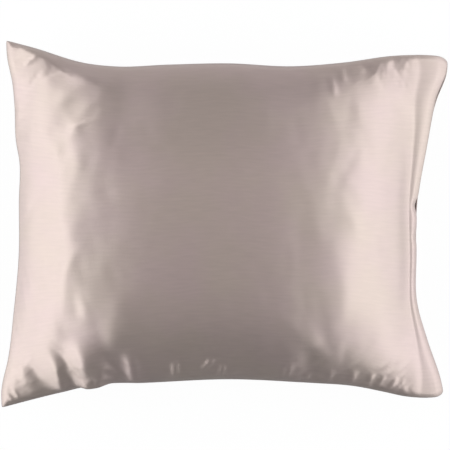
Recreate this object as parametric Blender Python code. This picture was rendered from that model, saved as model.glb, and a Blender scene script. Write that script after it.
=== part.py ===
"""A satin pillowcase for a 600 x 500 mm pillow, filled and lying on its back.

The case is cut as one strip, folded round and sewn along its two long sides, so it is one
piece: a front and a back that meet in a seam on three sides and end in a mouth on the fourth.
Filled, it is crowned, its sides draw in between the corners, and the cloth puckers where the
seams are too long for the filling. Past the filling the mouth is a flat band of two lips.

Units are metres and +Z is up. X runs from the closed end to the mouth and Y across the case.
The origin is under the middle of the case, on the surface that it rests on.
"""

import math
from collections import namedtuple

import bmesh
import bpy
import numpy as np

# ---- Driving dimensions ----

# The picture of this case gives no size. Its sewn sides are as 1.20 to 1 there, and so are
# those of the standard 600 x 500 mm case, so that is the size taken.
CASE_LENGTH = 0.600  # the case laid flat, from its closed end to its mouth
CASE_WIDTH = 0.500  # the case laid flat, from seam to seam

SEAM_HEIGHT = 0.062  # the seam's height over the surface, half way along a side
CORNER_DROOP = 0.024  # how much lower the empty corners hang
CROWN_RISE = 0.096  # the front's highest point over the seam
BACK_DROP = 0.088  # how far the back would hang under the seam if nothing held it up
REST_BLEND = 0.010  # the height over which the back rounds into its flat rest
REST_NEAR = 0.0004  # the back lies flat wherever it comes this near to the surface

SEAM_THICKNESS = 0.0020  # two layers of cloth and their turned-in edges
LIP_THICKNESS = 0.0014  # one hemmed lip of the mouth
MOUTH_GAP = 0.0032  # between the two lips, half way along the mouth
MOUTH_DEPTH = 0.024  # how far the pocket between the lips goes in
POCKET_TAPER = 0.6  # the pocket's height at its inner end, as a share of the mouth's
BAND_BLEND = 0.0060  # rounds the crease where the filling ends and the band begins
CORNER_RADIUS = 0.011  # the mouth's two corners, in plan

FULLNESS = 2.5  # the sections' shape: 2 is as round as an ellipse, and more is flatter on top
SEAM_POWER = 0.65  # how steeply a section ends at a seam: 0.5 stands upright there
MOUTH_POWER = 0.7  # the same where the filling ends before the mouth, a softer slope

COLUMNS = 80  # faces along the case
ROWS = 36  # faces across it

# Where the lines between faces fall, as a share of the cloth for a share of their count. They
# crowd where the cloth curves most: along the seams, and in the fan of folds.
Spacing = namedtuple("Spacing", "line cloth")
COLUMN_SPACING = (
    Spacing(0.00, 0.000),
    Spacing(0.06, 0.030),
    Spacing(0.45, 0.300),
    Spacing(0.66, 0.660),
    Spacing(0.82, 0.830),
    Spacing(0.92, 0.943),
    Spacing(0.9625, 0.975),
    Spacing(1.00, 1.000),
)
ROW_SPACING = (
    Spacing(0.00, 0.000),
    Spacing(0.10, 0.035),
    Spacing(0.34, 0.180),
    Spacing(0.70, 0.760),
    Spacing(0.90, 0.960),
    Spacing(1.00, 1.000),
)

CREASE_LINE = 0.975  # the cloth share of the column that follows the crease before the mouth
CREASE_REACH = 0.22  # the share of the cloth over which the columns bend towards it

# ---- The filled outline ----

# How far each corner stands in from the flat case's corner, along X and along Y.
Corner = namedtuple("Corner", "along across")
CLOSED_TOP = Corner(0.0085, 0.0056)
CLOSED_BOTTOM = Corner(0.0025, 0.0052)
MOUTH_TOP = Corner(0.0030, 0.0280)
MOUTH_BOTTOM = Corner(0.0080, 0.0205)

# How far each side is drawn in from the straight line between its corners. A station is a
# share of the side's length: along X from the closed end, and along Y from the bottom.
Station = namedtuple("Station", "share drawn_in")
TOP_SIDE = (
    Station(0.00, 0.0000),
    Station(0.06, 0.0088),
    Station(0.19, 0.0292),
    Station(0.25, 0.0318),
    Station(0.37, 0.0270),
    Station(0.50, 0.0225),
    Station(0.65, 0.0229),
    Station(0.76, 0.0152),
    Station(0.88, 0.0024),
    Station(0.96, -0.0008),
    Station(1.00, 0.0000),
)
BOTTOM_SIDE = (
    Station(0.00, 0.0000),
    Station(0.07, 0.0107),
    Station(0.17, 0.0244),
    Station(0.33, 0.0310),
    Station(0.52, 0.0328),
    Station(0.68, 0.0259),
    Station(0.80, 0.0183),
    Station(0.86, 0.0100),
    Station(0.91, 0.0026),
    Station(0.96, -0.0006),
    Station(1.00, 0.0000),
)
CLOSED_SIDE = (
    Station(0.00, 0.0000),
    Station(0.05, 0.0012),
    Station(0.14, 0.0115),
    Station(0.27, 0.0192),
    Station(0.42, 0.0251),
    Station(0.56, 0.0245),
    Station(0.67, 0.0243),
    Station(0.72, 0.0196),
    Station(0.82, 0.0164),
    Station(0.88, 0.0125),
    Station(0.95, 0.0036),
    Station(1.00, 0.0000),
)
MOUTH_SIDE = (
    Station(0.00, 0.0000),
    Station(0.05, 0.0058),
    Station(0.17, 0.0262),
    Station(0.28, 0.0412),
    Station(0.42, 0.0430),
    Station(0.58, 0.0418),
    Station(0.72, 0.0315),
    Station(0.87, 0.0166),
    Station(0.95, 0.0024),
    Station(1.00, 0.0000),
)

# The band between the crease, where the filling ends, and the mouth's edge: its width, and how
# far its front falls on the way from the crease to the mouth.
Band = namedtuple("Band", "share width fall")
MOUTH_BAND = (
    Band(0.00, 0.0340, 0.0140),
    Band(0.10, 0.0220, 0.0120),
    Band(0.22, 0.0130, 0.0090),
    Band(0.30, 0.0072, 0.0080),
    Band(0.38, 0.0066, 0.0080),
    Band(0.46, 0.0082, 0.0080),
    Band(0.60, 0.0130, 0.0080),
    Band(0.72, 0.0185, 0.0090),
    Band(0.80, 0.0240, 0.0110),
    Band(0.88, 0.0340, 0.0145),
    Band(1.00, 0.0440, 0.0170),
)

# ---- Folds ----

# A fold is a soft ridge, or a trough where its height is negative, at a place on the front.
# It runs at an angle from +X, and half_width is where it has fallen to a third. A lopsided
# fold has another half width, far_width, on its side towards the mouth.
Fold = namedtuple(
    "Fold", "x y half_length half_width angle height far_width", defaults=(None,)
)
FRONT_FOLDS = (
    # The fan that rises from the seam near the closed end's bottom corner.
    Fold(-0.250, -0.199, 0.018, 0.0090, 106, 0.0020, 0.0070),
    Fold(-0.214, -0.196, 0.026, 0.0100, 99, 0.0048, 0.0075),
    Fold(-0.177, -0.191, 0.038, 0.0150, 100, 0.0096, 0.0240),
    Fold(-0.160, -0.190, 0.024, 0.0070, 73, 0.0030),
    Fold(-0.118, -0.188, 0.024, 0.0070, 97, 0.0034, 0.0100),
    # The dip, and the puckers, where the seam pulls in beside the mouth's bottom corner.
    Fold(0.108, -0.186, 0.026, 0.0110, 95, -0.0026),
    Fold(0.135, -0.190, 0.020, 0.0090, 90, 0.0014),
    Fold(0.166, -0.196, 0.015, 0.0080, 84, 0.0016),
    Fold(0.190, -0.203, 0.014, 0.0070, 76, 0.0016),
    # The shoulder that runs in from the closed end's top corner.
    Fold(-0.211, 0.201, 0.060, 0.0100, -24, 0.0029),
    Fold(-0.247, 0.2195, 0.026, 0.0070, -24, 0.0022),
    # Dips at the mouth end of the top side.
    Fold(0.151, 0.194, 0.014, 0.0080, 100, 0.0012),
    Fold(0.184, 0.203, 0.012, 0.0100, 120, -0.0016),
    # The soft lines where the crown's flat top turns down to both ends.
    Fold(-0.172, 0.130, 0.065, 0.0290, 95, 0.0030),
    Fold(-0.198, -0.040, 0.055, 0.0160, 88, 0.0010),
    Fold(-0.136, -0.125, 0.045, 0.0280, 80, 0.0036),
    Fold(0.142, -0.060, 0.070, 0.0280, 90, 0.0020),
    Fold(0.118, 0.020, 0.140, 0.0180, 90, 0.0006),
    # Slack cloth on the closed end's shoulder.
    Fold(-0.248, 0.135, 0.042, 0.0160, 86, -0.0040, 0.0070),
)
# The back's own folds, placed as seen from the front.
BACK_FOLDS = (
    Fold(-0.225, -0.186, 0.030, 0.0110, 62, 0.0036),
    Fold(-0.196, -0.190, 0.026, 0.0110, 74, -0.0040),
    Fold(-0.232, 0.182, 0.032, 0.0120, -58, 0.0036),
    Fold(-0.198, 0.190, 0.026, 0.0110, -70, -0.0040),
    Fold(-0.090, 0.184, 0.022, 0.0140, 96, -0.0030),
    Fold(-0.070, -0.184, 0.024, 0.0140, 94, -0.0034),
    Fold(0.175, -0.190, 0.026, 0.0130, 112, -0.0036),
    Fold(0.180, 0.188, 0.026, 0.0130, 68, -0.0036),
)
FOLD_FADE = 0.012  # folds die out over this distance from the seam

CLOTH_COLOUR = (0.52, 0.44, 0.40, 1.0)
CLOTH_ROUGHNESS = 0.38
CLOTH_METALLIC = 0.35


def smooth_line(table, shares, column=1):
    """A column of a table at these shares, along a smooth curve through its rows."""
    at = np.array([row[0] for row in table])
    value = np.array([row[column] for row in table])
    slope = np.gradient(value, at)
    shares = np.clip(shares, 0.0, 1.0)
    i = np.clip(np.searchsorted(at, shares, side="right") - 1, 0, len(at) - 2)
    span = at[i + 1] - at[i]
    t = (shares - at[i]) / span
    start = (1 + 2 * t) * (1 - t) ** 2 * value[i] + t * (1 - t) ** 2 * span * slope[i]
    end = t**2 * (3 - 2 * t) * value[i + 1] - t**2 * (1 - t) * span * slope[i + 1]
    return start + end


def smooth_step(low, high, x):
    t = np.clip((x - low) / (high - low), 0.0, 1.0)
    return t * t * (3 - 2 * t)


def smooth_max(a, b, blend):
    """The larger of two, rounded off where they are within blend of each other."""
    near = np.clip(blend - np.abs(a - b), 0.0, None)
    return np.maximum(a, b) + near**2 / (4 * blend)


def corner_point(corner, end, side):
    """A corner's place in plan: end is -1 at the closed end, side is -1 at the bottom."""
    return np.array(
        [end * (CASE_LENGTH / 2 - corner.along), side * (CASE_WIDTH / 2 - corner.across)]
    )


def in_plan(u, v):
    """The plan point of a cloth point: u from the closed end to the mouth, v across."""
    u = u[:, None]
    v = v[:, None]
    closed_bottom = corner_point(CLOSED_BOTTOM, -1, -1)
    closed_top = corner_point(CLOSED_TOP, -1, 1)
    mouth_bottom = corner_point(MOUTH_BOTTOM, 1, -1)
    mouth_top = corner_point(MOUTH_TOP, 1, 1)
    straight = (
        (1 - u) * (1 - v) * closed_bottom
        + (1 - u) * v * closed_top
        + u * (1 - v) * mouth_bottom
        + u * v * mouth_top
    )
    along = (1 - u) * smooth_line(CLOSED_SIDE, v) - u * smooth_line(MOUTH_SIDE, v)
    across = (1 - v) * smooth_line(BOTTOM_SIDE, u) - v * smooth_line(TOP_SIDE, u)
    return straight + np.hstack([along, across]) - corner_rounding(u, v)


def corner_rounding(u, v):
    """How far the cloth is drawn in where the mouth's square corners are rounded to discs."""
    p = np.clip(1 - (1 - u) * CASE_LENGTH / CORNER_RADIUS, 0, 1)
    bottom = np.clip(1 - v * CASE_WIDTH / CORNER_RADIUS, 0, 1)
    top = np.clip(1 - (1 - v) * CASE_WIDTH / CORNER_RADIUS, 0, 1)
    along = p * (1 - np.sqrt(1 - np.maximum(bottom, top) ** 2 / 2))
    across = (top - bottom) * (1 - np.sqrt(1 - p**2 / 2))
    return CORNER_RADIUS * np.hstack([along, across])


def seam_height(u, v):
    """The height of the sheet midway between front and back: level, with drooping corners."""
    corner = np.abs((2 * u - 1) * (2 * v - 1)) ** 3
    return SEAM_HEIGHT - CORNER_DROOP * corner


def mouth_share(v):
    """0 at the mouth's two ends and 1 along its middle."""
    return smooth_step(0.02, 0.20, v) * smooth_step(0.02, 0.20, 1 - v)


def edge_thickness(u, v):
    """The height of the case's edge: a seam, or two lips and the gap between them."""
    lips = 2 * LIP_THICKNESS + MOUTH_GAP - SEAM_THICKNESS
    return SEAM_THICKNESS + lips * mouth_share(v) * smooth_step(0.85, 0.97, u)


def crease_share(v):
    """The share of the case's length at which the filling ends."""
    return 1 - smooth_line(MOUTH_BAND, v) / CASE_LENGTH


def filling(u, v):
    """How far the filling holds the cloth out, as a share of the most."""
    s = np.clip(2 * u / crease_share(v) - 1, -1, 1)
    t = np.clip(2 * v - 1, -1, 1)
    power = np.where(s < 0, SEAM_POWER, MOUTH_POWER)
    along = (1 - np.abs(s) ** FULLNESS) ** power
    across = (1 - np.abs(t) ** FULLNESS) ** SEAM_POWER
    return along * across


def band_height(u, v):
    """The height of the band's front over the seam, falling from the crease to the mouth."""
    crease = crease_share(v)
    past = np.clip((u - crease) / (1 - crease), 0, 1)
    return smooth_line(MOUTH_BAND, v, 2) * (1 - past) * (1 - np.abs(2 * v - 1) ** 6)


def fold_relief(folds, plan):
    """The height of all the folds at each plan point."""
    total = np.zeros(len(plan))
    for fold in folds:
        turn = math.radians(fold.angle)
        dx = plan[:, 0] - fold.x
        dy = plan[:, 1] - fold.y
        along = dx * math.cos(turn) + dy * math.sin(turn)
        across = dy * math.cos(turn) - dx * math.sin(turn)
        reach = np.exp(-((along / fold.half_length) ** 4))
        wide = np.where(across < 0, fold.far_width or fold.half_width, fold.half_width)
        total += fold.height * reach * np.exp(-((across / wide) ** 2))
    return total


def seam_fade(u, v):
    """0 on the seam and at the mouth, and 1 a little way in."""
    nearest = np.minimum(
        np.minimum(u, 1 - u) * CASE_LENGTH, np.minimum(v, 1 - v) * CASE_WIDTH
    )
    return smooth_step(0.0, FOLD_FADE, nearest)


def front_points(u, v):
    fill = CROWN_RISE * filling(u, v)
    band = band_height(u, v)
    rise = smooth_max(fill, band, BAND_BLEND) - BAND_BLEND / 4 * (1 - seam_fade(u, v))
    z = seam_height(u, v) + edge_thickness(u, v) / 2 + rise
    return np.column_stack([in_plan(u, v), z])


def back_points(u, v):
    fill = BACK_DROP * filling(u, v)
    drop = smooth_max(fill, 0, BAND_BLEND) - BAND_BLEND / 4 * (1 - seam_fade(u, v))
    z = seam_height(u, v) - edge_thickness(u, v) / 2 - drop
    return np.column_stack([in_plan(u, v), z])


def rest_on_surface(z):
    """Heights with everything under the surface pressed flat, rounding into the rest."""
    rounded = (z + REST_BLEND) ** 2 / (4 * REST_BLEND)
    height = np.where(z > REST_BLEND, z, np.where(z < -REST_BLEND, 0.0, rounded))
    return np.where(height < REST_NEAR, 0.0, height)


def cloth_grid(bm):
    """A flat grid of faces, its vertices with their shares u and v."""
    made = bmesh.ops.create_grid(bm, x_segments=COLUMNS, y_segments=ROWS, size=0.5)
    verts = made["verts"]
    lines = np.array([(vert.co.x + 0.5, vert.co.y + 0.5) for vert in verts])
    u = smooth_line(COLUMN_SPACING, lines[:, 0])
    v = smooth_line(ROW_SPACING, lines[:, 1])
    before = smooth_step(CREASE_LINE - CREASE_REACH, CREASE_LINE, u)
    past = (1 - u) / (1 - CREASE_LINE)
    u = u + (crease_share(v) - CREASE_LINE) * np.minimum(before, past)
    return verts, u, v


def place(verts, points):
    for vert, point in zip(verts, points):
        vert.co = point


def raise_folds(bm, verts, folds, u, v):
    """Moves the cloth in or out along its own normal."""
    bm.normal_update()
    points = np.array([vert.co for vert in verts])
    normals = np.array([vert.normal for vert in verts])
    relief = fold_relief(folds, points[:, :2]) * seam_fade(u, v)
    return points + relief[:, None] * normals


def front_and_back(bm):
    """The case's two faces as open sheets."""
    verts, u, v = cloth_grid(bm)
    place(verts, front_points(u, v))
    place(verts, raise_folds(bm, verts, FRONT_FOLDS, u, v))

    verts, u, v = cloth_grid(bm)
    faces = list({face for vert in verts for face in vert.link_faces})
    bmesh.ops.reverse_faces(bm, faces=faces)
    place(verts, back_points(u, v))
    points = raise_folds(bm, verts, BACK_FOLDS, u, v)
    points[:, 2] = rest_on_surface(points[:, 2])
    place(verts, points)


def sew_edges(bm):
    """Joins front and back all round. Returns the faces of the mouth's edge."""
    rims = [edge for edge in bm.edges if edge.is_boundary]
    wall = bmesh.ops.bridge_loops(bm, edges=rims)["faces"]
    bmesh.ops.recalc_face_normals(bm, faces=bm.faces)
    reach = CASE_WIDTH / 2 - MOUTH_TOP.across
    return [
        face
        for face in wall
        if face.normal.x > 0.5
        and face.calc_center_median().x > 0
        and abs(face.calc_center_median().y) < 0.80 * reach
    ]


def open_mouth(bm, mouth):
    """Parts the two lips with a shallow pocket that follows the band and narrows inwards."""
    bmesh.ops.inset_region(bm, faces=mouth, thickness=LIP_THICKNESS, use_boundary=True)
    made = bmesh.ops.extrude_face_region(bm, geom=mouth)["geom"]
    bmesh.ops.delete(bm, geom=mouth, context="FACES")
    verts = [item for item in made if isinstance(item, bmesh.types.BMVert)]
    points = np.array([vert.co for vert in verts])
    bottom = corner_point(MOUTH_BOTTOM, 1, -1)[1]
    top = corner_point(MOUTH_TOP, 1, 1)[1]
    v = (points[:, 1] - bottom) / (top - bottom)
    u = np.full(len(v), 1 - MOUTH_DEPTH / CASE_LENGTH)
    middle = seam_height(np.ones(len(v)), v)
    points[:, 0] -= MOUTH_DEPTH
    points[:, 2] = seam_height(u, v) + POCKET_TAPER * (points[:, 2] - middle)
    place(verts, points)


def centre_over_origin(bm):
    """Moves the case so that its box stands on the surface, centred over the origin."""
    corners = np.array([vert.co for vert in bm.verts])
    middle = (corners.min(axis=0) + corners.max(axis=0)) / 2
    bmesh.ops.translate(bm, verts=bm.verts, vec=(-middle[0], -middle[1], 0))


def merge_rest(bm):
    """Merges the flat faces of the rest into one."""
    flat = [face for face in bm.faces if max(vert.co.z for vert in face.verts) < 1e-7]
    edges = {edge for face in flat for edge in face.edges}
    verts = {vert for face in flat for vert in face.verts}
    bmesh.ops.dissolve_limit(
        bm, angle_limit=math.radians(0.05), verts=list(verts), edges=list(edges)
    )


def satin():
    """The cloth: a warm grey-beige satin with a soft shine."""
    material = bpy.data.materials.new("satin")
    material.use_nodes = True
    shader = material.node_tree.nodes["Principled BSDF"]
    shader.inputs["Base Color"].default_value = CLOTH_COLOUR
    shader.inputs["Roughness"].default_value = CLOTH_ROUGHNESS
    shader.inputs["Metallic"].default_value = CLOTH_METALLIC
    return material


def filled_case(collection):
    """The whole case with what fills it, one closed solid."""
    bm = bmesh.new()
    front_and_back(bm)
    mouth = sew_edges(bm)
    open_mouth(bm, mouth)
    merge_rest(bm)
    centre_over_origin(bm)
    mesh = bpy.data.meshes.new("pillowcase")
    bm.to_mesh(mesh)
    bm.free()
    mesh.shade_smooth()
    mesh.set_sharp_from_angle(angle=math.radians(50))
    mesh.materials.append(satin())
    case = bpy.data.objects.new("pillowcase", mesh)
    collection.objects.link(case)
    return case


def main():
    for obj in list(bpy.data.objects):
        bpy.data.objects.remove(obj)
    collection = bpy.data.collections.new("filled_pillowcase")
    bpy.context.scene.collection.children.link(collection)
    filled_case(collection)


main()
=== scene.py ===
import math

import bmesh
import bpy
import numpy as np
from mathutils import Matrix, Vector


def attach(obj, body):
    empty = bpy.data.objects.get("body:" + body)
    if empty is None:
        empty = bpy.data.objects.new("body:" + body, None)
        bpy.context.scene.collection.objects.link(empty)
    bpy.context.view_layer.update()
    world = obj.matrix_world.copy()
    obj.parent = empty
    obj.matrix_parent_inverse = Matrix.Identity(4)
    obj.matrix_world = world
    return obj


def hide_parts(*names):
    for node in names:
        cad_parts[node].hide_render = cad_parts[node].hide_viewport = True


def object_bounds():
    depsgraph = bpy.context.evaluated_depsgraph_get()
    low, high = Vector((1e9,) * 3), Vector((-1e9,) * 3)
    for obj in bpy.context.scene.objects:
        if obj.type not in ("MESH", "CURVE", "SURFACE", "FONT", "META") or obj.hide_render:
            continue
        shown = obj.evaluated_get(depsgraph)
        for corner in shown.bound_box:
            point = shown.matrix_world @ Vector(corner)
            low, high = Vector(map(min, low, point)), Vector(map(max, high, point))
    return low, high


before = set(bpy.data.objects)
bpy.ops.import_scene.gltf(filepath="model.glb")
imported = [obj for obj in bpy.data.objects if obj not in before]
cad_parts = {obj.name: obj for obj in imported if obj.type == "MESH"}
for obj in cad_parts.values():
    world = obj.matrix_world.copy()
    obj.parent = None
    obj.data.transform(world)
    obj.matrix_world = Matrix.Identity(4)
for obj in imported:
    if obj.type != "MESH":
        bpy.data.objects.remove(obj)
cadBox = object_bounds()
print("frame loaded")

# Sizes are in metres. Cloth points are given by two shares: u from the closed end to the
# mouth, and v from the bottom side to the top side, as the case lies in the picture.

caseShape = {
    "length": 0.600,  # the flat case
    "width": 0.500,
    "columns": 116,  # faces along and across, before the subdivision
    "rows": 96,
    "edgeCloseness": 0.28,  # how much closer they lie towards the edges
    "seamHeight": 0.062,
    "cornerDroop": 0.024,
    "droopPower": 3,  # higher keeps the droop nearer to the corners
    "crownRise": 0.096,  # from the seams up to the crown, and down to the back
    "backDrop": 0.088,
    "restBlend": 0.010,  # how softly the back rounds into its flat rest
    "fullness": 2.5,  # higher is flatter on the crown
    "seamPower": 0.65,  # lower stands more upright at the seams
    "mouthPower": 0.70,  # the same before the crease
    "seamFade": 0.006,  # folds fade out this near to a seam
    "seamWave": 0.9,  # share of a fold's height that its seam follows
    "seamCrease": 0.6,
    "mouthCornerRadius": 0.011,
    "closedCornerRadius": 0.003,
    "creaseLine": 0.975,  # share along the case, before the columns follow the band's width
    "creaseReach": 0.22,  # share along the case over which they follow it
    "bandColumns": 5,  # columns between the crease and the mouth's edge
    "bandPower": 6,  # higher keeps the band's height up nearer to the mouth's ends
    "bandBlend": 0.0115,  # how softly the crown runs into the band
    "endBlend": 1.7,  # times as softly at both ends of the mouth
    "blendFade": (0.06, 0.30),  # shares across the mouth, from each of its ends
    "lipThickness": 0.0012,
    "lipShare": 0.35,  # no lip takes more of the gap than this
    "mouthParting": 0.0025,  # half of the way between the lips at the mouth
    "partingFade": (0.0, 0.20),  # shares across the mouth, from each of its ends
    "partingStart": (0.85, 0.97),  # shares along the case
}

# corner: how far it stands in from the flat case's corner, along and across
cornerInset = {
    "closedTop": (0.0085, 0.0056),
    "closedBottom": (0.0025, 0.0052),
    "mouthTop": (0.0030, 0.0280),
    "mouthBottom": (0.0080, 0.0205),
}

# (share of the side, how far it is drawn in from the line between its corners)
drawnIn = {
    "top": [
        (0.00, 0.0000), (0.06, 0.0088), (0.19, 0.0292), (0.25, 0.0318),
        (0.37, 0.0270), (0.50, 0.0225), (0.65, 0.0229), (0.76, 0.0152),
        (0.88, 0.0024), (0.96, -0.0008), (1.00, 0.0000),
    ],
    "bottom": [
        (0.00, 0.0000), (0.07, 0.0107), (0.16, 0.0232), (0.21, 0.0298), (0.33, 0.0310),
        (0.52, 0.0328), (0.68, 0.0259), (0.80, 0.0183), (0.86, 0.0100), (0.91, 0.0026),
        (0.96, -0.0006), (1.00, 0.0000),
    ],
    "closed": [
        (0.00, 0.0000), (0.05, 0.0012), (0.14, 0.0115), (0.27, 0.0192),
        (0.42, 0.0251), (0.56, 0.0245), (0.67, 0.0243), (0.72, 0.0196),
        (0.82, 0.0164), (0.88, 0.0125), (0.95, 0.0036), (1.00, 0.0000),
    ],
    "mouth": [
        (0.00, 0.0000), (0.05, 0.0058), (0.17, 0.0262), (0.28, 0.0412),
        (0.42, 0.0430), (0.58, 0.0418), (0.72, 0.0315), (0.87, 0.0166),
        (0.95, 0.0024), (1.00, 0.0000),
    ],
}

# (share across, width of the band between the crease and the mouth's edge, how far it falls
# on the way, and how far it swells)
mouthBand = [
    (0.00, 0.0340, 0.0140, 0.0020), (0.10, 0.0240, 0.0120, 0.0020),
    (0.22, 0.0152, 0.0084, 0.0021), (0.30, 0.0122, 0.0074, 0.0021),
    (0.38, 0.0118, 0.0072, 0.0021), (0.46, 0.0130, 0.0074, 0.0021),
    (0.60, 0.0162, 0.0082, 0.0019), (0.72, 0.0215, 0.0095, 0.0018),
    (0.80, 0.0258, 0.0112, 0.0019), (0.88, 0.0340, 0.0145, 0.0020),
    (1.00, 0.0440, 0.0170, 0.0020),
]

# (share across the mouth, reach, how far the front lip stands back)
lipPlaces = [(0.562, 0.018, 0.0040), (0.472, 0.014, 0.0014), (0.90, 0.060, 0.0020)]

# (x, y, half length, half width, angle from +X in degrees, height), and for a lopsided fold
# the half width of its flank towards the mouth
frontFolds = [
    (-0.2440, -0.201, 0.018, 0.0085, 106, -0.0024, 0.0110),  # fan at the closed end's bottom
    (-0.2140, -0.196, 0.026, 0.0100, 99, 0.0044, 0.0080),
    (-0.1765, -0.191, 0.038, 0.0150, 100, 0.0096, 0.0260),
    (-0.1840, -0.210, 0.011, 0.0060, 102, 0.0032, 0.0120),
    (-0.1600, -0.192, 0.022, 0.0075, 73, 0.0028, 0.0100),
    (-0.118, -0.188, 0.024, 0.0070, 97, 0.0034, 0.0100),
    (0.108, -0.186, 0.026, 0.0110, 95, -0.0026),  # towards the mouth's bottom corner
    (-0.211, 0.2010, 0.060, 0.0100, -24, 0.0029),  # shoulder from the closed end's top
    (-0.247, 0.2195, 0.026, 0.0070, -24, 0.0022),
    (-0.168, 0.130, 0.065, 0.0320, 95, 0.0034),  # closed end's shoulder
    (-0.198, -0.040, 0.055, 0.0160, 88, 0.0010),
    (-0.136, -0.125, 0.045, 0.0280, 80, 0.0036),
    (-0.171, -0.122, 0.045, 0.0200, 86, 0.0018),
    (0.142, -0.060, 0.070, 0.0280, 90, 0.0020),  # mouth end's shoulder
    (0.118, 0.020, 0.140, 0.0180, 90, 0.0006),
    (-0.243, 0.138, 0.040, 0.0110, 86, 0.0030, 0.0400),  # slack on the closed end's shoulder
]
backFolds = [
    (-0.225, -0.186, 0.030, 0.0110, 62, 0.0036),
    (-0.196, -0.190, 0.026, 0.0110, 74, -0.0040),
    (-0.232, 0.182, 0.032, 0.0120, -58, 0.0036),
    (-0.198, 0.190, 0.026, 0.0110, -70, -0.0040),
    (-0.090, 0.184, 0.022, 0.0140, 96, -0.0030),
    (-0.070, -0.184, 0.024, 0.0140, 94, -0.0034),
    (0.175, -0.190, 0.026, 0.0130, 112, -0.0036),
    (0.180, 0.188, 0.026, 0.0130, 68, -0.0036),
]

# the same, for small puckers that are made on the finished mesh
frontPuckers = [
    (-0.275, -0.222, 0.008, 0.0022, 120, 0.0008),  # closed end's bottom corner
    (-0.283, -0.229, 0.006, 0.0020, 125, 0.0007),
    (-0.064, -0.186, 0.011, 0.0042, 86, 0.0022),  # along the bottom side
    (-0.042, -0.198, 0.006, 0.0016, -27, 0.0009),
    (-0.022, -0.179, 0.010, 0.0038, 47, 0.0022),
    (-0.004, -0.189, 0.009, 0.0040, 80, 0.0020),
    (0.081, -0.189, 0.011, 0.0050, 75, 0.0020),
    (0.106, -0.202, 0.009, 0.0036, 84, 0.0012),
    (0.135, -0.198, 0.010, 0.0045, 80, 0.0012),
    (0.165, -0.201, 0.011, 0.0050, 80, 0.0014),
    (0.188, -0.205, 0.011, 0.0042, 74, 0.0013),
    (0.203, -0.206, 0.009, 0.0030, 62, 0.0008),
    (0.219, -0.209, 0.010, 0.0034, 58, 0.0010),
    (0.230, -0.210, 0.007, 0.0022, 50, 0.0006),
    (-0.253, 0.214, 0.009, 0.0030, 31, 0.0012),  # closed end's top corner
    (-0.183, 0.124, 0.012, 0.0024, 20, 0.0005),
    (0.151, 0.194, 0.011, 0.0050, 100, 0.0010),  # mouth end of the top side
    (0.138, 0.177, 0.014, 0.0045, 96, 0.0008),
    (0.184, 0.203, 0.010, 0.0080, 120, -0.0014),
    (0.223, 0.210, 0.010, 0.0090, 80, -0.0012),
]


def smoothLine(table, shares, column=1):
    # a smooth line through one column of a table, whose first column says where
    at = np.array([row[0] for row in table])
    value = np.array([row[column] for row in table])
    slope = np.gradient(value, at)
    shares = np.clip(shares, 0.0, 1.0)
    i = np.clip(np.searchsorted(at, shares, side="right") - 1, 0, len(at) - 2)
    span = at[i + 1] - at[i]
    t = (shares - at[i]) / span
    start = (1 + 2 * t) * (1 - t) ** 2 * value[i] + t * (1 - t) ** 2 * span * slope[i]
    end = t**2 * (3 - 2 * t) * value[i + 1] - t**2 * (1 - t) * span * slope[i + 1]
    return start + end


def smoothStep(low, high, x):
    t = np.clip((x - low) / (high - low), 0.0, 1.0)
    return t * t * (3 - 2 * t)


def smoothMax(a, b, blend):
    # the larger of two, rounded where they are nearly the same
    near = np.clip(blend - np.abs(a - b), 0.0, None)
    return np.maximum(a, b) + near**2 / (4 * blend)


def awayFromEnds(v, low, high):
    # nothing at both ends of a side, and all of it in between
    return smoothStep(low, high, v) * smoothStep(low, high, 1 - v)


def cornerPoint(name, end, side):
    along, across = cornerInset[name]
    x = end * (caseShape["length"] / 2 - along)
    y = side * (caseShape["width"] / 2 - across)
    return np.array([x, y])


def planPoints(u, v):
    # the outline as seen from overhead, with everything inside it in even shares
    uu, vv = u[:, None], v[:, None]
    straight = (
        (1 - uu) * (1 - vv) * cornerPoint("closedBottom", -1, -1)
        + (1 - uu) * vv * cornerPoint("closedTop", -1, 1)
        + uu * (1 - vv) * cornerPoint("mouthBottom", 1, -1)
        + uu * vv * cornerPoint("mouthTop", 1, 1)
    )
    along = (1 - u) * smoothLine(drawnIn["closed"], v) - u * smoothLine(drawnIn["mouth"], v)
    across = (1 - v) * smoothLine(drawnIn["bottom"], u) - v * smoothLine(drawnIn["top"], u)
    return straight + np.column_stack([along, across]) + cornerRounding(u, v)


def cornerRounding(u, v):
    # near a corner the square of cloth is drawn into a quarter of a disc
    shift = np.zeros((len(u), 2))
    for end in (-1, 1):
        radius = caseShape["mouthCornerRadius"] if end > 0 else caseShape["closedCornerRadius"]
        for side in (-1, 1):
            toEnd = np.where(end > 0, 1 - u, u) * caseShape["length"] / radius
            toSide = np.where(side > 0, 1 - v, v) * caseShape["width"] / radius
            p, q = np.clip(1 - toEnd, 0, 1), np.clip(1 - toSide, 0, 1)
            shift[:, 0] += end * radius * p * (np.sqrt(1 - q**2 / 2) - 1)
            shift[:, 1] += side * radius * q * (np.sqrt(1 - p**2 / 2) - 1)
    return shift


def creaseShare(v):
    # where the crease before the mouth lies, as a share along the case
    return 1 - smoothLine(mouthBand, v) / caseShape["length"]


def fromEdge(u, v):
    # how far a point lies from the nearest edge of the flat cloth
    return np.minimum(
        np.minimum(u, 1 - u) * caseShape["length"], np.minimum(v, 1 - v) * caseShape["width"]
    )


def seamFade(u, v):
    return smoothStep(0.0, caseShape["seamFade"], fromEdge(u, v))


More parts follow.
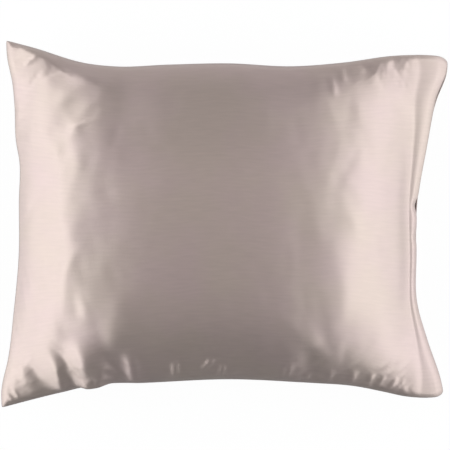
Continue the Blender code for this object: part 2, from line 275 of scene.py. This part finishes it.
def fillingShare(u, v):
    # how far the filling lifts the cloth: all at the crown, nothing at the seams and the crease
    s = np.clip(2 * u / creaseShare(v) - 1, -1, 1)
    t = np.clip(2 * v - 1, -1, 1)
    power = np.where(s < 0, caseShape["seamPower"], caseShape["mouthPower"])
    along = (1 - np.abs(s) ** caseShape["fullness"]) ** power
    across = (1 - np.abs(t) ** caseShape["fullness"]) ** caseShape["seamPower"]
    return along * across


def seamLevel(u, v):
    corner = np.abs((2 * u - 1) * (2 * v - 1)) ** caseShape["droopPower"]
    return caseShape["seamHeight"] - caseShape["cornerDroop"] * corner


def lipParting(u, v):
    # the lips part along the middle of the mouth and meet at its two ends
    middle = awayFromEnds(v, *caseShape["partingFade"])
    return caseShape["mouthParting"] * middle * smoothStep(*caseShape["partingStart"], u)


def lipSetBack(u, v):
    # where the front lip stands back from the back one
    total = np.zeros_like(v)
    for at, reach, depth in lipPlaces:
        total += depth * np.exp(-(((v - at) / reach) ** 2))
    return total * smoothStep(caseShape["creaseLine"], 1.0, u)


def creaseBlend(v):
    # the crease before the mouth softens out towards both ends of it
    middle = awayFromEnds(v, *caseShape["blendFade"])
    softest = caseShape["endBlend"]
    return caseShape["bandBlend"] * (softest - (softest - 1) * middle)


def frontSheet(u, v):
    # the crown, and past the crease the band that falls to the mouth
    crease = creaseShare(v)
    past = np.clip((u - crease) / (1 - crease), 0, 1)
    band = smoothLine(mouthBand, v, 2) * (1 - past)
    band += smoothLine(mouthBand, v, 3) * np.sin(math.pi * past)
    band = band * (1 - np.abs(2 * v - 1) ** caseShape["bandPower"])
    blend = creaseBlend(v)
    rise = smoothMax(caseShape["crownRise"] * fillingShare(u, v), band, blend)
    rise = rise - blend / 4 * (1 - seamFade(u, v))  # the rounding lifts nothing at the seams
    plan = planPoints(u, v)
    plan[:, 0] -= lipSetBack(u, v)
    return np.column_stack([plan, seamLevel(u, v) + lipParting(u, v) + rise])


def backSheet(u, v):
    blend = creaseBlend(v)
    drop = smoothMax(caseShape["backDrop"] * fillingShare(u, v), 0, blend)
    drop = drop - blend / 4 * (1 - seamFade(u, v))
    return np.column_stack([planPoints(u, v), seamLevel(u, v) - lipParting(u, v) - drop])


def pressFlat(z):
    # what would reach below the surface is flat on it
    b = caseShape["restBlend"]
    return np.where(z > b, z, np.where(z < -b, 0.0, (z + b) ** 2 / (4 * b)))


def foldRelief(folds, plan):
    total = np.zeros(len(plan))
    for x, y, halfLength, halfWidth, angle, height, *farWidth in folds:
        turn = math.radians(angle)
        dx, dy = plan[:, 0] - x, plan[:, 1] - y
        along = dx * math.cos(turn) + dy * math.sin(turn)
        across = dy * math.cos(turn) - dx * math.sin(turn)
        reach = np.exp(-((along / halfLength) ** 4))
        wide = np.where(across < 0, farWidth[0], halfWidth) if farWidth else halfWidth
        total += height * reach * np.exp(-((across / wide) ** 2))
    return total


def gridNormals(points):
    # points is a grid of columns, rows, xyz
    du = np.gradient(points, axis=0)
    dv = np.gradient(points, axis=1)
    normal = np.cross(du, dv)
    return normal / np.linalg.norm(normal, axis=2, keepdims=True)


def closerAtEdges(count):
    share = np.linspace(0, 1, count + 1)
    close = caseShape["edgeCloseness"]
    return (1 - close) * share + close * (0.5 - 0.5 * np.cos(math.pi * share))


def clothGrid():
    # the shares u and v of every point, with one line of points along the crease
    crease, band = caseShape["creaseLine"], caseShape["bandColumns"]
    body = closerAtEdges(caseShape["columns"] - band) * crease
    past = crease + (1 - crease) * np.linspace(0, 1, band + 1)[1:]
    u, v = np.meshgrid(
        np.concatenate([body, past]), closerAtEdges(caseShape["rows"]), indexing="ij"
    )
    before = smoothStep(crease - caseShape["creaseReach"], crease, u)
    follow = np.minimum(before, (1 - u) / (1 - crease))
    return u + (creaseShare(v) - crease) * follow, v


def sheetRelief(folds, sheet):
    plan = sheet[:, :, :2].reshape(-1, 2)
    return foldRelief(folds, plan).reshape(sheet.shape[:2])[:, :, None]


def shapedSheets(u, v):
    shape = u.shape + (3,)
    front = frontSheet(u.ravel(), v.ravel()).reshape(shape)
    back = backSheet(u.ravel(), v.ravel()).reshape(shape)
    fade = seamFade(u, v)[:, :, None]
    relief = sheetRelief(frontFolds, front)
    seamWave = caseShape["seamWave"] * relief * (1 - fade)  # the seam follows its folds up
    front = front + relief * fade * gridNormals(front)
    front[:, :, 2:] += seamWave
    back[:, :, 2:] += seamWave
    back = back - sheetRelief(backFolds, back) * fade * gridNormals(back)
    back[:, :, 2] = pressFlat(back[:, :, 2])
    return front, back


def weldedIndex():
    # front and back share the closed end and the two side seams, and part at the mouth
    shape = (caseShape["columns"] + 1, caseShape["rows"] + 1)
    front = np.arange(shape[0] * shape[1]).reshape(shape)
    back = front.copy()
    inner = back[1:, 1:-1]
    back[1:, 1:-1] = front.size + np.arange(inner.size).reshape(inner.shape)
    return front, back, front.size + inner.size


def pointByPoint(welded, front, back):
    # both sheets' values in one list, with the front's on the seams that they share
    frontIndex, backIndex, count = welded
    values = np.zeros((count, front.shape[-1]))
    values[backIndex] = back
    values[frontIndex] = front
    return values


def gridFaces(index, flip):
    a, b = index[:-1, :-1], index[1:, :-1]
    c, d = index[1:, 1:], index[:-1, 1:]
    quads = np.stack([a, b, c, d], axis=-1).reshape(-1, 4)
    return quads[:, ::-1] if flip else quads


def meshFrom(name, points, faces, cloth):
    mesh = bpy.data.meshes.new(name)
    mesh.from_pydata(points.tolist(), [], faces.tolist())
    threads = mesh.uv_layers.new(name="threads")
    loops = np.empty(len(mesh.loops), dtype=np.int32)
    mesh.loops.foreach_get("vertex_index", loops)
    threads.data.foreach_set("uv", cloth[loops].astype(np.float32).ravel())
    mesh.update()
    piece = bpy.data.objects.new(name, mesh)
    bpy.context.scene.collection.objects.link(piece)
    return piece


def storeValues(mesh, name, values):
    marks = mesh.attributes.new(name, "FLOAT", "POINT")
    marks.data.foreach_set("value", values.astype(np.float32))


def readValues(mesh, name):
    values = np.empty(len(mesh.vertices), dtype=np.float32)
    mesh.attributes[name].data.foreach_get("value", values)
    return values.astype(float)


def readPlaces(mesh):
    at = np.empty(len(mesh.vertices) * 3)
    mesh.vertices.foreach_get("co", at)
    return at.reshape(-1, 3)


def setPlaces(mesh, at):
    mesh.vertices.foreach_set("co", at.ravel())
    mesh.update()


def applyModifiers(piece):
    graph = bpy.context.evaluated_depsgraph_get()
    mesh = bpy.data.meshes.new_from_object(piece.evaluated_get(graph))
    piece.modifiers.clear()
    piece.data = mesh


clothSettle = {
    "frames": 26,
    "gatherFrames": 12,  # over these the edges are gathered, and over the rest the cloth settles
    "quality": 6,
    "pressure": 3.0,
    "stretch": 40.0,
    "shear": 8.0,
    "bending": 0.15,
    "mass": 0.12,
    "keepShape": 0.60,  # pull towards the drawn shape in the middle of the sheets
    "edgeKeep": 0.5,  # share of that pull beside the seams, where the spare cloth buckles
    "keepRise": (0.02, 0.10),  # from the seams in, where the pull grows to all of it
    "bandHold": 0.03,  # share along the case before the crease, where the hold grows to full
    "restHold": 0.002,  # the back is held where it lies lower than this
    "farthest": 0.012,  # no point moves farther than this
    "spareDepth": 0.055,  # how far the spare cloth reaches in from a seam
    "spareSteps": 400,
}

# cloth to spare along each edge: (where along it, reach, share of the length)
spareCloth = {
    "bottom": [(0.18, 0.08, 0.010), (0.45, 0.20, 0.014), (0.80, 0.09, 0.012)],
    "top": [(0.10, 0.06, 0.008), (0.85, 0.08, 0.005)],
    "closed": [(0.76, 0.10, 0.012)],
}


def spareRun(edge, shares):
    # how far each point would lie along its edge with the spare cloth laid flat
    fine = np.linspace(0, 1, clothSettle["spareSteps"] + 1)
    share = 0
    for at, reach, amount in spareCloth[edge]:
        share = share + amount * np.exp(-(((fine - at) / reach) ** 2))
    run = np.concatenate([[0], np.cumsum((share[1:] + share[:-1]) / 2 * np.diff(fine))])
    return np.interp(shares, fine, run - run[-1] / 2)


def laidFlat(u, v, sheet):
    depthU = clothSettle["spareDepth"] / caseShape["length"]
    depthV = clothSettle["spareDepth"] / caseShape["width"]
    flat = sheet.copy()
    flat[:, :, 0] += caseShape["length"] * (
        spareRun("bottom", u) * np.exp(-((v / depthV) ** 2))
        + spareRun("top", u) * np.exp(-(((1 - v) / depthV) ** 2))
    )
    flat[:, :, 1] += caseShape["width"] * (
        spareRun("closed", v) * np.exp(-((u / depthU) ** 2))
    )
    return flat


def holdShares(u, v, back):
    # how firmly each point is held to its drawn place: fully at the edges, past the crease and
    # where the back lies on the surface
    keep = clothSettle["edgeKeep"]
    inner = smoothStep(*clothSettle["keepRise"], fromEdge(u, v))
    hold = clothSettle["keepShape"] * (keep + (1 - keep) * inner)
    hold += (1 - hold) * smoothStep(-clothSettle["bandHold"], 0.0, u - creaseShare(v))
    hold[0] = hold[-1] = 1.0
    hold[:, 0] = hold[:, -1] = 1.0
    return hold, np.where(back[:, :, 2] < clothSettle["restHold"], 1.0, hold)


def slackCase(laid, drawn, faces, hold):
    # the cloth with its spare length laid flat, which is gathered to the drawn edges
    slack = bpy.data.objects.new("slackCase", bpy.data.meshes.new("slackCase"))
    slack.data.from_pydata(laid.tolist(), [], faces.tolist())
    bpy.context.scene.collection.objects.link(slack)
    slack.shape_key_add(name="Basis")
    gathered = slack.shape_key_add(name="gathered")
    gathered.data.foreach_set("co", drawn.ravel())
    for step, share in ((1, 0.0), (1 + clothSettle["gatherFrames"], 1.0)):
        gathered.value = share
        gathered.keyframe_insert("value", frame=step)
    group = slack.vertex_groups.new(name="hold")
    for i, weight in enumerate(hold.tolist()):
        group.add([i], weight, "REPLACE")
    return slack


def addCloth(slack):
    cloth = slack.modifiers.new("cloth", "CLOTH")
    given = cloth.settings
    given.quality = clothSettle["quality"]
    given.mass = clothSettle["mass"]
    given.tension_stiffness = given.compression_stiffness = clothSettle["stretch"]
    given.shear_stiffness = clothSettle["shear"]
    given.bending_stiffness = clothSettle["bending"]
    given.use_pressure = True
    given.uniform_pressure_force = clothSettle["pressure"]
    given.effector_weights.gravity = 0
    given.vertex_group_mass = "hold"
    cloth.point_cache.frame_start = 1
    cloth.point_cache.frame_end = clothSettle["frames"]


def settledPlaces(slack):
    for step in range(1, clothSettle["frames"] + 1):
        bpy.context.scene.frame_set(step)
    graph = bpy.context.evaluated_depsgraph_get()
    places = readPlaces(slack.evaluated_get(graph).data)
    bpy.context.scene.frame_set(1)
    bpy.data.objects.remove(slack)
    for action in list(bpy.data.actions):
        bpy.data.actions.remove(action)
    return places


def settleSheets(u, v, front, back):
    # soft cloth with air in it: its edges are gathered, and the spare cloth buckles into puckers
    welded = weldedIndex()
    frontIndex, backIndex = welded[:2]
    drawn = pointByPoint(welded, front, back)
    laid = pointByPoint(welded, laidFlat(u, v, front), laidFlat(u, v, back))
    frontHold, backHold = holdShares(u, v, back)
    hold = pointByPoint(welded, frontHold[:, :, None], backHold[:, :, None])[:, 0]
    faces = np.concatenate([gridFaces(frontIndex, False), gridFaces(backIndex, True)])
    slack = slackCase(laid, drawn, faces, hold)
    addCloth(slack)
    way = settledPlaces(slack) - drawn
    far = np.linalg.norm(way, axis=1)
    most = clothSettle["farthest"]
    way *= (most * np.tanh(far / most) / np.maximum(far, 1e-9))[:, None]
    print("cloth settled: moved", round(float(far.mean()) * 1000, 2), "mm on average,",
          round(float(far.max()) * 1000, 2), "mm at most")
    points = drawn + way
    return points[frontIndex], points[backIndex]


fineShape = {
    "seed": 22,
    "softDents": 300,  # low dents that mottle the shine, on each sheet
    "dentsAlong": (-0.28, 0.24),
    "dentsAcross": (-0.20, 0.20),
    "dentHeight": 0.00045,
    "dentHeightSpread": (0.4, 1.3),
    "dentHalfWidth": (0.006, 0.014),
    "dentHalfLength": (0.010, 0.032),
    "dentAngle": (92, 24),  # middle and spread, in degrees from +X
    "crownShare": 0.35,  # how deep they are on the crown
    "closedShare": 0.65,  # what the closed end's shoulder adds, and the mouth end's
    "mouthShare": 0.25,
    "crownMiddle": -0.02,
    "shoulderRise": (0.08, 0.17),  # from the crown's middle
}


def softDents(side):
    # dents run mostly across the case, and are deeper on the shoulders than on the crown
    chance = np.random.default_rng(fineShape["seed"] + side)
    dents = []
    for _ in range(fineShape["softDents"]):
        x = chance.uniform(*fineShape["dentsAlong"])
        y = chance.uniform(*fineShape["dentsAcross"])
        more = fineShape["closedShare"] if x < 0 else fineShape["mouthShare"]
        shoulder = smoothStep(*fineShape["shoulderRise"], abs(x - fineShape["crownMiddle"]))
        height = fineShape["dentHeight"] * chance.uniform(*fineShape["dentHeightSpread"])
        height = height * (fineShape["crownShare"] + more * shoulder)
        halfLength = chance.uniform(*fineShape["dentHalfLength"])
        halfWidth = chance.uniform(*fineShape["dentHalfWidth"])
        angle = chance.normal(*fineShape["dentAngle"])
        dents.append((x, y, halfLength, halfWidth, angle, height * chance.choice((-1, 1))))
    return dents


def fineRelief(mesh):
    # dents on both sheets and puckers on the front, along each point's normal
    at = readPlaces(mesh)
    out = np.empty(len(mesh.vertices) * 3)
    mesh.vertex_normals.foreach_get("vector", out)
    sheet = readValues(mesh, "sheet")
    fade = seamFade(readValues(mesh, "alongCase"), readValues(mesh, "acrossCase"))
    relief = np.clip(sheet, 0, 1) * foldRelief(softDents(1) + frontPuckers, at[:, :2])
    relief += np.clip(-sheet, 0, 1) * foldRelief(softDents(2), at[:, :2])
    setPlaces(mesh, at + out.reshape(-1, 3) * (relief * fade)[:, None])


def addLinings(points, cloth, welded, front, back, flat):
    # the lips' inner sides, from the mouth's edge in to the crease
    first = caseShape["columns"] - caseShape["bandColumns"]
    gap = front[first:, :, 2] - back[first:, :, 2]
    thick = np.minimum(caseShape["lipThickness"], caseShape["lipShare"] * gap)
    linings = []
    for sheet, way in ((front, -1), (back, 1)):
        lining = sheet[first:].copy()
        lining[:, :, 2] += way * thick
        index = welded[0][first:].copy()
        inside = index[:, 1:-1]
        index[:, 1:-1] = len(points) + np.arange(inside.size).reshape(inside.shape)
        points = np.concatenate([points, lining[:, 1:-1].reshape(-1, 3)])
        cloth = np.concatenate([cloth, flat[first:, 1:-1].reshape(-1, 2)])
        linings.append(index)
    return points, cloth, linings


def caseFaces(welded, linings):
    front, back = welded[:2]
    frontLining, backLining = linings
    return np.concatenate([
        gridFaces(front, False),
        gridFaces(back, True),
        gridFaces(frontLining, True),
        gridFaces(backLining, False),
        gridFaces(np.stack([front[-1], frontLining[-1]]), False),  # the lips' edges
        gridFaces(np.stack([back[-1], backLining[-1]]), True),
        gridFaces(np.stack([frontLining[0], backLining[0]]), False),  # the pocket's end
    ])


def markPoints(mesh, welded, cloth):
    # which sheet a point is on and where, for the fine relief, and the seams, which stay crisp
    frontIndex, backIndex = welded[:2]
    sheet = np.zeros(len(cloth))
    seam = np.zeros(len(cloth), dtype=bool)
    sheet[backIndex] = -1
    sheet[frontIndex] = 1
    for line in (frontIndex[0], frontIndex[:, 0], frontIndex[:, -1]):
        sheet[line] = 0
        seam[line] = True
    storeValues(mesh, "sheet", sheet)
    storeValues(mesh, "alongCase", cloth[:, 0] / caseShape["length"])
    storeValues(mesh, "acrossCase", cloth[:, 1] / caseShape["width"])
    ends = np.empty(len(mesh.edges) * 2, dtype=np.int32)
    mesh.edges.foreach_get("vertices", ends)
    crisp = np.where(seam[ends.reshape(-1, 2)].all(axis=1), caseShape["seamCrease"], 0.0)
    creases = mesh.attributes.new("crease_edge", "FLOAT", "EDGE")
    creases.data.foreach_set("value", crisp.astype(np.float32))


def dropEmptyFaces(mesh):
    work = bmesh.new()
    work.from_mesh(mesh)
    bmesh.ops.dissolve_degenerate(work, dist=1e-6, edges=work.edges)
    work.to_mesh(mesh)
    work.free()


def buildCase():
    u, v = clothGrid()
    front, back = shapedSheets(u, v)
    front, back = settleSheets(u, v, front, back)
    back[:, :, 2] = pressFlat(back[:, :, 2])
    welded = weldedIndex()
    flat = np.stack([u * caseShape["length"], v * caseShape["width"]], axis=-1)
    points = pointByPoint(welded, front, back)
    cloth = pointByPoint(welded, flat, flat)
    points, cloth, linings = addLinings(points, cloth, welded, front, back, flat)
    piece = meshFrom("filledCase", points, caseFaces(welded, linings), cloth)
    markPoints(piece.data, welded, cloth)
    dropEmptyFaces(piece.data)
    softer = piece.modifiers.new("subdivision", "SUBSURF")
    softer.levels = softer.render_levels = 1
    applyModifiers(piece)
    fineRelief(piece.data)
    for name in ("sheet", "alongCase", "acrossCase", "crease_edge"):
        if name in piece.data.attributes:
            piece.data.attributes.remove(piece.data.attributes[name])
    piece.data.shade_smooth()
    return piece


def settleInBox(piece, box):
    # centred on the solid's box, and standing on the surface
    at = readPlaces(piece.data)
    low, high = at.min(0), at.max(0)
    at[:, 0] += (box[0].x + box[1].x) / 2 - (low[0] + high[0]) / 2
    at[:, 1] += (box[0].y + box[1].y) / 2 - (low[1] + high[1]) / 2
    at[:, 2] += box[0].z - low[2]
    setPlaces(piece.data, at)


filledCase = buildCase()
settleInBox(filledCase, cadBox)
print("filled case built:", len(filledCase.data.polygons), "faces")


satinLook = {
    "warmColor": (0.527, 0.421, 0.382),
    "mauveColor": (0.532, 0.413, 0.396),
    "toneSpread": (0.38, 0.62),  # the slow tone's values at which each colour is alone
    "fleckSpread": 0.16,  # how much paler the palest threads are than the deepest
    "metallic": 0.62,
    "specular": 0.25,
    "edgeShine": 0.40,  # how much of its shine is left at a glancing angle
    "roughness": 0.37,
    "roughSpread": 0.05,
    "anisotropic": 0.45,
    "shineTurn": 0.25,  # the shine spreads across the threads
    "sheen": 0.10,
    "sheenRoughness": 0.4,
    "threadsPerMetre": 2600,
    "threadStretch": 0.06,  # threads run along the case, and so do their slubs
    "threadDetail": 2,
    "slubScale": 300,
    "slubStretch": 0.12,
    "slubShare": 0.5,  # of the height
    "slubHeight": 0.00010,
    "slubStrength": 0.6,
    "slubDetail": 3,
    "toneScale": 9,
}


def addNode(tree, kind, **values):
    node = tree.nodes.new(kind)
    for name, value in values.items():
        setattr(node, name, value)
    return node


def newGroup(name, inputs, outputs):
    group = bpy.data.node_groups.new(name, "ShaderNodeTree")
    for label, kind, value in inputs:
        socket = group.interface.new_socket(label, in_out="INPUT", socket_type=kind)
        if value is not None:
            socket.default_value = value
    for label, kind in outputs:
        group.interface.new_socket(label, in_out="OUTPUT", socket_type=kind)
    return group, group.nodes.new("NodeGroupInput"), group.nodes.new("NodeGroupOutput")


def stretchedNoise(group, cloth, stretch, scale, detail):
    noise = addNode(group, "ShaderNodeTexNoise")
    noise.inputs["Scale"].default_value = scale
    noise.inputs["Detail"].default_value = detail
    along = addNode(group, "ShaderNodeVectorMath", operation="MULTIPLY")
    along.inputs[1].default_value = (stretch, 1, 1)
    group.links.new(cloth, along.inputs[0])
    group.links.new(along.outputs["Vector"], noise.inputs["Vector"])
    return noise


def threadGroup():
    # fine warp threads with slubs: a height, a fleck mask and a slow tone
    group, given, out = newGroup(
        "satinThreads",
        [
            ("Cloth", "NodeSocketVector", None),
            ("Threads", "NodeSocketFloat", satinLook["threadsPerMetre"]),
            ("Slub", "NodeSocketFloat", satinLook["slubShare"]),
        ],
        [("Height", "NodeSocketFloat"), ("Fleck", "NodeSocketFloat"), ("Tone", "NodeSocketFloat")],
    )
    link = group.links.new
    cloth, look, detail = given.outputs["Cloth"], satinLook, satinLook["slubDetail"]
    fine = stretchedNoise(
        group, cloth, look["threadStretch"], look["threadsPerMetre"], look["threadDetail"]
    )
    link(given.outputs["Threads"], fine.inputs["Scale"])
    slub = stretchedNoise(group, cloth, look["slubStretch"], look["slubScale"], detail)
    slow = stretchedNoise(group, cloth, 1, look["toneScale"], detail)
    blend = addNode(group, "ShaderNodeMix", data_type="FLOAT")
    link(given.outputs["Slub"], blend.inputs["Factor"])
    link(fine.outputs["Fac"], blend.inputs["A"])
    link(slub.outputs["Fac"], blend.inputs["B"])
    link(blend.outputs["Result"], out.inputs["Height"])
    link(slub.outputs["Fac"], out.inputs["Fleck"])
    link(slow.outputs["Fac"], out.inputs["Tone"])
    return group


def satinMaterial(threads):
    material = bpy.data.materials.new("champagneSatin")
    material.use_nodes = True
    tree = material.node_tree
    link = tree.links.new
    shader = tree.nodes["Principled BSDF"]
    shader.inputs["Metallic"].default_value = satinLook["metallic"]
    shader.inputs["Specular Tint"].default_value = (*[satinLook["edgeShine"]] * 3, 1)
    shader.inputs["Specular IOR Level"].default_value = satinLook["specular"]
    shader.inputs["Anisotropic"].default_value = satinLook["anisotropic"]
    shader.inputs["Anisotropic Rotation"].default_value = satinLook["shineTurn"]
    shader.inputs["Sheen Weight"].default_value = satinLook["sheen"]
    shader.inputs["Sheen Roughness"].default_value = satinLook["sheenRoughness"]
    cloth = addNode(tree, "ShaderNodeUVMap", uv_map="threads")
    weave = addNode(tree, "ShaderNodeGroup", node_tree=threads)
    weave.inputs["Threads"].default_value = satinLook["threadsPerMetre"]
    link(cloth.outputs["UV"], weave.inputs["Cloth"])

    hue = addNode(tree, "ShaderNodeMapRange")
    hue.inputs["From Min"].default_value = satinLook["toneSpread"][0]
    hue.inputs["From Max"].default_value = satinLook["toneSpread"][1]
    link(weave.outputs["Tone"], hue.inputs["Value"])
    tint = addNode(tree, "ShaderNodeMix", data_type="RGBA")
    tint.inputs["A"].default_value = (*satinLook["warmColor"], 1)
    tint.inputs["B"].default_value = (*satinLook["mauveColor"], 1)
    link(hue.outputs["Result"], tint.inputs["Factor"])
    shade = addNode(tree, "ShaderNodeMapRange")
    shade.inputs["To Min"].default_value = 1 - satinLook["fleckSpread"] / 2
    shade.inputs["To Max"].default_value = 1 + satinLook["fleckSpread"] / 2
    link(weave.outputs["Fleck"], shade.inputs["Value"])
    fleck = addNode(tree, "ShaderNodeVectorMath", operation="SCALE")
    link(tint.outputs["Result"], fleck.inputs["Vector"])
    link(shade.outputs["Result"], fleck.inputs["Scale"])
    link(fleck.outputs["Vector"], shader.inputs["Base Color"])

    gloss = addNode(tree, "ShaderNodeMapRange")
    gloss.inputs["To Min"].default_value = satinLook["roughness"] - satinLook["roughSpread"]
    gloss.inputs["To Max"].default_value = satinLook["roughness"] + satinLook["roughSpread"]
    link(weave.outputs["Fleck"], gloss.inputs["Value"])
    link(gloss.outputs["Result"], shader.inputs["Roughness"])

    bump = addNode(tree, "ShaderNodeBump")
    bump.inputs["Strength"].default_value = satinLook["slubStrength"]
    bump.inputs["Distance"].default_value = satinLook["slubHeight"]
    link(weave.outputs["Height"], bump.inputs["Height"])
    link(bump.outputs["Normal"], shader.inputs["Normal"])

    tangent = addNode(tree, "ShaderNodeTangent", direction_type="UV_MAP", uv_map="threads")
    link(tangent.outputs["Tangent"], shader.inputs["Tangent"])
    return material


filledCase.data.materials.clear()
filledCase.data.materials.append(satinMaterial(threadGroup()))
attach(filledCase, "root")
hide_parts("pillowcase")
print("satin on")


studio = {
    "frameSpan": 0.5895,  # what the picture's width covers at the seams' height
    "frameCentre": (0.0007, -0.0013),
    "lens": 100,
    "sensorWidth": 36,
    "panelDistance": 1.7,
    "panelCentre": 0.08,  # height of the point that all panels face
    "panelLength": {"x": 6.5, "y": 2.6},
    "endTint": (0.955, 1.02, 1.025),  # the panels at both ends are a little cooler
    "roomGrey": 0.03,
    "backdropGlow": 0.99,
    "floorSize": 14,
    "floorGrey": 0.05,
    "floorRoughness": 0.9,
    "floorGlow": 0.955,
}

# (name, way that it stands out, middle angle from overhead, angle that it covers, glow)
lightPanels = [
    ("closedEnd1", "x", -28, 8, 0.10),  # beside the closed end, from high to low
    ("closedEnd2", "x", -36, 8, 0.42),
    ("closedEnd3", "x", -44, 8, 0.72),
    ("closedEnd4", "x", -52, 8, 1.32),
    ("closedEnd5", "x", -64, 16, 2.55),
    ("closedEnd6", "x", -87, 30, 2.08),
    ("closedEnd7", "x", -111, 18, 1.58),
    ("closedEnd8", "x", -130, 20, 1.50),
    ("mouthEnd1", "x", 32, 16, 0.38),  # beside the mouth
    ("mouthEnd2", "x", 44, 8, 0.86),
    ("mouthEnd3", "x", 52, 8, 1.48),
    ("mouthEnd4", "x", 64, 16, 2.40),
    ("mouthEnd5", "x", 87, 30, 1.85),
    ("mouthEnd6", "x", 111, 18, 1.18),
    ("mouthEnd7", "x", 130, 20, 1.15),
    ("overheadFront", "y", -43, 20, 0.25),
    ("overhead", "y", -16.5, 33, 0.41),
    ("overheadBack", "y", 14, 28, 0.545),
    ("behindHigh", "y", 46, 36, 0.315),
    ("behindMiddle", "y", 74, 20, 0.24),
    ("behindLow", "y", 102, 30, 0.46),
    ("behindLowest", "y", 130, 20, 1.05),
]


def addFloor():
    # for the camera alone: it throws no light on the case, and no shadow from the low panels
    bpy.ops.mesh.primitive_plane_add(size=studio["floorSize"], location=(0, 0, 0))
    floor = bpy.context.object
    floor.name = "paleFloor"
    material = bpy.data.materials.new("paleFloor")
    material.use_nodes = True
    shader = material.node_tree.nodes["Principled BSDF"]
    shader.inputs["Base Color"].default_value = (*[studio["floorGrey"]] * 3, 1)
    shader.inputs["Roughness"].default_value = studio["floorRoughness"]
    shader.inputs["Specular IOR Level"].default_value = 0
    shader.inputs["Emission Color"].default_value = (1, 1, 1, 1)
    shader.inputs["Emission Strength"].default_value = studio["floorGlow"]
    floor.data.materials.append(material)
    floor.visible_diffuse = False
    floor.visible_glossy = False
    floor.visible_shadow = False


def addPanel(name, way, angle, span, glow):
    turn = math.radians(angle)
    across = Vector((1, 0, 0)) if way == "x" else Vector((0, 1, 0))
    along = Vector((0, 1, 0)) if way == "x" else Vector((1, 0, 0))
    out = across * math.sin(turn) + Vector((0, 0, math.cos(turn)))
    light = bpy.data.lights.new(name, "AREA")
    light.shape = "RECTANGLE"
    light.size = studio["panelLength"][way]
    light.size_y = studio["panelDistance"] * math.radians(span)
    light.energy = math.pi * glow * light.size * light.size_y
    if way == "x":
        light.color = studio["endTint"]
    panel = bpy.data.objects.new(name, light)
    place = Matrix((along, out.cross(along), out)).transposed().to_4x4()
    place.translation = out * studio["panelDistance"] + Vector((0, 0, studio["panelCentre"]))
    panel.matrix_world = place
    panel.visible_camera = False
    bpy.context.scene.collection.objects.link(panel)


def addRoom():
    # a dim room around the panels, which the camera sees as pale as the floor
    world = bpy.data.worlds.new("softRoom")
    world.use_nodes = True
    tree = world.node_tree
    room = tree.nodes["Background"]
    room.inputs["Color"].default_value = (*[studio["roomGrey"]] * 3, 1)
    backdrop = addNode(tree, "ShaderNodeBackground")
    backdrop.inputs["Color"].default_value = (*[studio["backdropGlow"]] * 3, 1)
    path = addNode(tree, "ShaderNodeLightPath")
    mix = addNode(tree, "ShaderNodeMixShader")
    tree.links.new(path.outputs["Is Camera Ray"], mix.inputs["Fac"])
    tree.links.new(room.outputs["Background"], mix.inputs[1])
    tree.links.new(backdrop.outputs["Background"], mix.inputs[2])
    tree.links.new(mix.outputs["Shader"], tree.nodes["World Output"].inputs["Surface"])
    bpy.context.scene.world = world


def addCamera():
    data = bpy.data.cameras.new("camera")
    data.lens = studio["lens"]
    data.sensor_width = studio["sensorWidth"]
    above = studio["frameSpan"] * studio["lens"] / studio["sensorWidth"]
    camera = bpy.data.objects.new("camera", data)
    camera.location = (*studio["frameCentre"], caseShape["seamHeight"] + above)
    camera.rotation_euler = (0, 0, 0)
    bpy.context.scene.collection.objects.link(camera)
    bpy.context.scene.camera = camera


addFloor()
for panel in lightPanels:
    addPanel(*panel)
addRoom()
addCamera()
bpy.context.scene.view_settings.view_transform = "Standard"
print("studio ready")
